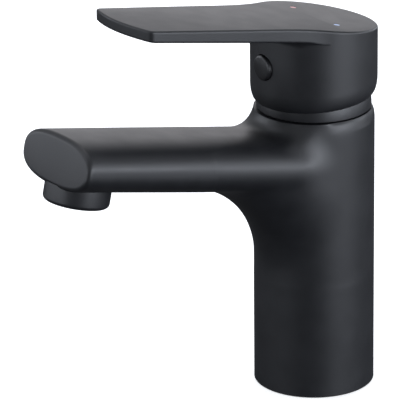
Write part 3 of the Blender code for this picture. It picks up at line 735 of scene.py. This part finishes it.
cap_plastic = moulded("cap_black_abs", ("161617", "1c1c1e"), (0.36, 0.44))
acetal = moulded("white_acetal", ("e4e1d8", "efece4"), (0.34, 0.42))
grey_acetal = moulded("grey_acetal", ("84878a", "94979a"), (0.36, 0.44))
rubber = moulded("epdm_rubber", ("141414", "1d1d1d"), (0.70, 0.82), 0.5)
brass = turned_metal("turned_brass", ("b08a4e", "c29b5c"), (0.22, 0.34), 0.2375 * MM)
steel = turned_metal("turned_stainless", ("a5a7a8", "b8babb"), (0.24, 0.34), 0.198 * MM)
alumina = ceramic("lapped_alumina")
red = enamel("hot_red_enamel", ("c8787a", "d68f90"))
blue = enamel("cold_blue_enamel", ("86a4d8", "a0bae6"))
print("materials so far:", len(bpy.data.materials))


# %% Cap, marks and aerator
def make_cap():
    low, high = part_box("screw_cap")
    radius, face = high.x, -low.y
    chamfer = 0.55 * MM
    profile = [(0.0, 19.5 * MM), (radius - 0.3 * MM, 19.5 * MM), (radius, 19.8 * MM)]
    profile += [(radius, face - chamfer)]
    profile += [(radius - chamfer * 0.25, face - chamfer * 0.55), (radius - chamfer, face - 0.06 * MM)]
    profile += [(radius - chamfer - 0.25 * MM, face), (0.0, face)]
    return shaded(turned("screw_cap_finished", profile, 96, TO_FRONT, cap_plastic), 25)


def make_mark(name, side, look):
    low = top_height(-MARK_Y) - 0.6 * MM
    made = turned(name, [(0.0, low), (1.15 * MM, low), (1.15 * MM, 150 * MM), (1.05 * MM, 150.02 * MM),
                         (0.0, 150.05 * MM)], 40, Matrix.Translation((side * MARK_SIDE, MARK_Y, 0)), look)
    for vertex in made.data.vertices:
        if vertex.co.z > 149 * MM:
            vertex.co.z += top_height(-vertex.co.y) - 150.05 * MM
    return shaded(made)


cap = make_cap()
hot = make_mark("hot_mark_finished", -1, red)
cold = make_mark("cold_mark_finished", 1, blue)
for piece, old, slot_name in ((cap, "screw_cap", "cap_plastic"), (hot, "hot_mark", "hot_enamel"),
                              (cold, "cold_mark", "cold_enamel")):
    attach(piece, "lever")
    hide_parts(old)


def make_collar():
    radius, drop, flange = 12.45 * MM, 16.2 * MM, SPOT_FACE - 0.3 * MM
    roll = 1.75 * MM
    foot = arc((radius - roll, -drop + roll), (roll, roll), -90, 0, 8)
    profile = [(9.7 * MM, -drop)] + foot + [(radius, flange - 0.15 * MM), (radius - 0.15 * MM, flange),
               (11.8 * MM, flange), (11.8 * MM, -4.4 * MM), (10.7 * MM, -4.4 * MM), (10.7 * MM, -14.1 * MM),
               (9.5 * MM, -14.1 * MM), (9.5 * MM, -15.3 * MM)]
    return shaded(turned("aerator_collar_finished", profile, 96, AERATOR_FRAME, trim_coat))


def make_screen():
    """The woven-looking moulded screen: a ring with two layers of fine bars across it."""
    shape = bmesh.new()
    pitch, half_bar, reach = 1.5 * MM, 0.28 * MM, 8.4 * MM
    for layer, z in ((0, -12.5 * MM), (1, -13.1 * MM)):
        count = int(reach / pitch)
        for step in range(-count, count + 1):
            offset = step * pitch
            length = sqrt(max((8.6 * MM) ** 2 - offset ** 2, 0.0))
            made = bmesh.ops.create_cube(shape, size=1.0)["verts"]
            size = (length * 2, half_bar * 2, 0.5 * MM)
            if layer == 1:
                size = (half_bar * 2, length * 2, 0.5 * MM)
            bmesh.ops.scale(shape, verts=made, vec=size)
            move = (0, offset, z) if layer == 0 else (offset, 0, z)
            bmesh.ops.translate(shape, verts=made, vec=move)
    bmesh.ops.transform(shape, matrix=AERATOR_FRAME, verts=shape.verts)
    bars = finish("bars", shape, None, 1e-7)
    inner, outer, low, high = 8.3 * MM, 9.0 * MM, -13.6 * MM, -12.2 * MM
    profile = [(inner, low), (outer, low), (outer, high), (inner, high)]
    rim = turned("aerator_screen_finished", profile, 64, AERATOR_FRAME, grey_acetal)
    mesh = bmesh.new()
    mesh.from_mesh(rim.data)
    mesh.from_mesh(bars.data)
    mesh.to_mesh(rim.data)
    mesh.free()
    bpy.data.objects.remove(bars)
    return rim


collar = make_collar()
screen = make_screen()
for piece, old, slot_name in ((collar, "aerator_collar", "trim_coat"),
                              (screen, "aerator_screen", "grey_acetal")):
    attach(piece, "root")
    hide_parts(old)
print("small pieces made")

# %% [markdown]
# ## Pieces carried over from the CAD
#
# The cartridge, the seals and the screw keep their CAD shape. They only get their real finishes.

# %% Finishes for the carried-over pieces
FINISHES = {
    "base_gasket": rubber, "hot_port_seal": rubber, "cold_port_seal": rubber, "disc_seal": rubber,
    "housing_oring": rubber, "aerator_washer": rubber, "cartridge_base": acetal, "disc_carrier": grey_acetal,
    "cartridge_housing": acetal, "turn_sleeve": grey_acetal, "fixed_ceramic_disc": alumina,
    "moving_ceramic_disc": alumina, "cartridge_nut": brass, "stem": brass, "stem_pin": steel,
    "grub_screw": steel, "aerator_insert": acetal,
}
for name, look in FINISHES.items():
    slots = frame["nodes"][name].material_slots
    for place in slots:
        place.material = look
left = sorted(set(frame["nodes"]) - set(FINISHES))
print("finished:", len(FINISHES), "left for new pieces:", left)

# %% [markdown]
# ## Studio
#
# A product table: a pale floor, softboxes behind that graze the flat tops, and a long low strip at the
# right that draws the highlight along the spout and down the column. The lights from the sides are a
# little cooler than those from behind. The floor glows a little, so it stays pale, and the coat doesn't
# mirror it, as if black card lay round the base.


# %% Floor and world
def make_floor():
    shape = bmesh.new()
    bmesh.ops.create_grid(shape, x_segments=1, y_segments=1, size=6.0)
    bmesh.ops.translate(shape, verts=shape.verts, vec=(0, 0, -0.05 * MM))
    made = finish("floor", shape)
    look, tree, shader, place = start_material("floor_paper")
    drift(tree, shader, place, 0.4, ("f6f6f6", "fbfbfb"), (0.85, 0.95))
    shader.inputs["Emission Color"].default_value = (1, 1, 1, 1)
    shader.inputs["Emission Strength"].default_value = 0.55
    flag = node(tree, "BsdfDiffuse", Color=linear("4a4a4a"))
    seen = node(tree, "LightPath").outputs["Is Camera Ray"]
    choose = node(tree, "MixShader", i0=seen, i1=flag.outputs[0], i2=shader.outputs[0])
    tree.links.new(choose.outputs[0], tree.nodes["Material Output"].inputs["Surface"])
    made.data.materials.append(look)
    return made


make_floor()
world = bpy.data.worlds.new("studio")
bpy.context.scene.world = world
world.use_nodes = True
sky = world.node_tree
sky.nodes.clear()
seen = node(sky, "LightPath").outputs["Is Camera Ray"]
white = node(sky, "Background", Color=(1, 1, 1, 1), Strength=1.0)
fill = node(sky, "Background", Color=(0.96, 0.99, 1.05, 1), Strength=0.52)
choose = sky.nodes.new("ShaderNodeMixShader")
sky.links.new(seen, choose.inputs[0])
sky.links.new(fill.outputs[0], choose.inputs[1])
sky.links.new(white.outputs[0], choose.inputs[2])
sky.links.new(choose.outputs[0], node(sky, "OutputWorld").inputs[0])
print("floor and world made")


# %% Lights and camera
def softbox(name, azimuth, elevation, distance, width, height, watts, colour, aim=(0.0, -0.04, 0.08)):
    """A soft rectangular light; azimuth 0 stands in front of the spout, and elevation is in degrees."""
    data = bpy.data.lights.new(name, "AREA")
    data.shape, data.size, data.size_y, data.energy = "RECTANGLE", width, height, watts
    data.color = colour
    made = bpy.data.objects.new(name, data)
    bpy.context.scene.collection.objects.link(made)
    a, e = radians(azimuth), radians(elevation)
    back = Vector((sin(a) * cos(e), -cos(a) * cos(e), sin(e)))
    made.location = Vector(aim) + back * distance
    made.rotation_euler = back.to_track_quat("Z", "Y").to_euler()
    made.visible_camera = False
    return made


NEUTRAL, COOL = (1.01, 0.98, 1.01), (0.93, 0.98, 1.08)
SOFTBOXES = {
    "back_low": (233, 9, 0.60, 0.45, 1.0), "back_high": (233, 50, 0.60, 0.60, 1.2),
    "overhead": (233, 78, 0.60, 0.60, 1.4), "right_strip": (105, 0.7, 1.10, 0.19, 11.8),
    "right_back": (150, 8, 0.55, 0.50, 4.1), "left_back": (195, 14, 0.40, 0.40, 2.0),
    "front_strip": (0, 0.7, 0.60, 0.19, 2.5), "left_strip": (-30, 0.7, 0.50, 0.19, 1.4),
    "left_low": (-58, 8, 0.40, 0.40, 2.2), "left_high": (-30, 48, 0.60, 0.60, 2.1),
}
for name, (azimuth, elevation, width, height, watts) in SOFTBOXES.items():
    softbox(name, azimuth, elevation, 1.2, width, height, watts, NEUTRAL if name.startswith("back") else COOL)

AZIMUTH, ELEVATION, ROLL = radians(53.5), radians(20.73), radians(-0.576)
DISTANCE = 1.65
camera_data = bpy.data.cameras.new("camera")
camera_data.sensor_width = 36.0
camera_data.lens = 388.8
camera_data.clip_start, camera_data.clip_end = 0.05, 20.0
camera = bpy.data.objects.new("camera", camera_data)
bpy.context.scene.collection.objects.link(camera)
bpy.context.scene.camera = camera
right = Vector((cos(AZIMUTH), sin(AZIMUTH), 0))
back = Vector((sin(AZIMUTH) * cos(ELEVATION), -cos(AZIMUTH) * cos(ELEVATION), sin(ELEVATION)))
up = back.cross(right)
target = right * (-43.47 * MM) + Vector((0, 0, 72.84 * MM))
right_rolled = right * cos(ROLL) + up * sin(ROLL)
up_rolled = up * cos(ROLL) - right * sin(ROLL)
turn = Matrix((right_rolled, up_rolled, back)).transposed()
camera.matrix_world = Matrix.Translation(target + back * DISTANCE) @ turn.to_4x4()
bpy.context.scene.view_settings.view_transform = "Standard"
print("softboxes:", len(SOFTBOXES), "camera lens, mm:", round(camera_data.lens, 1))
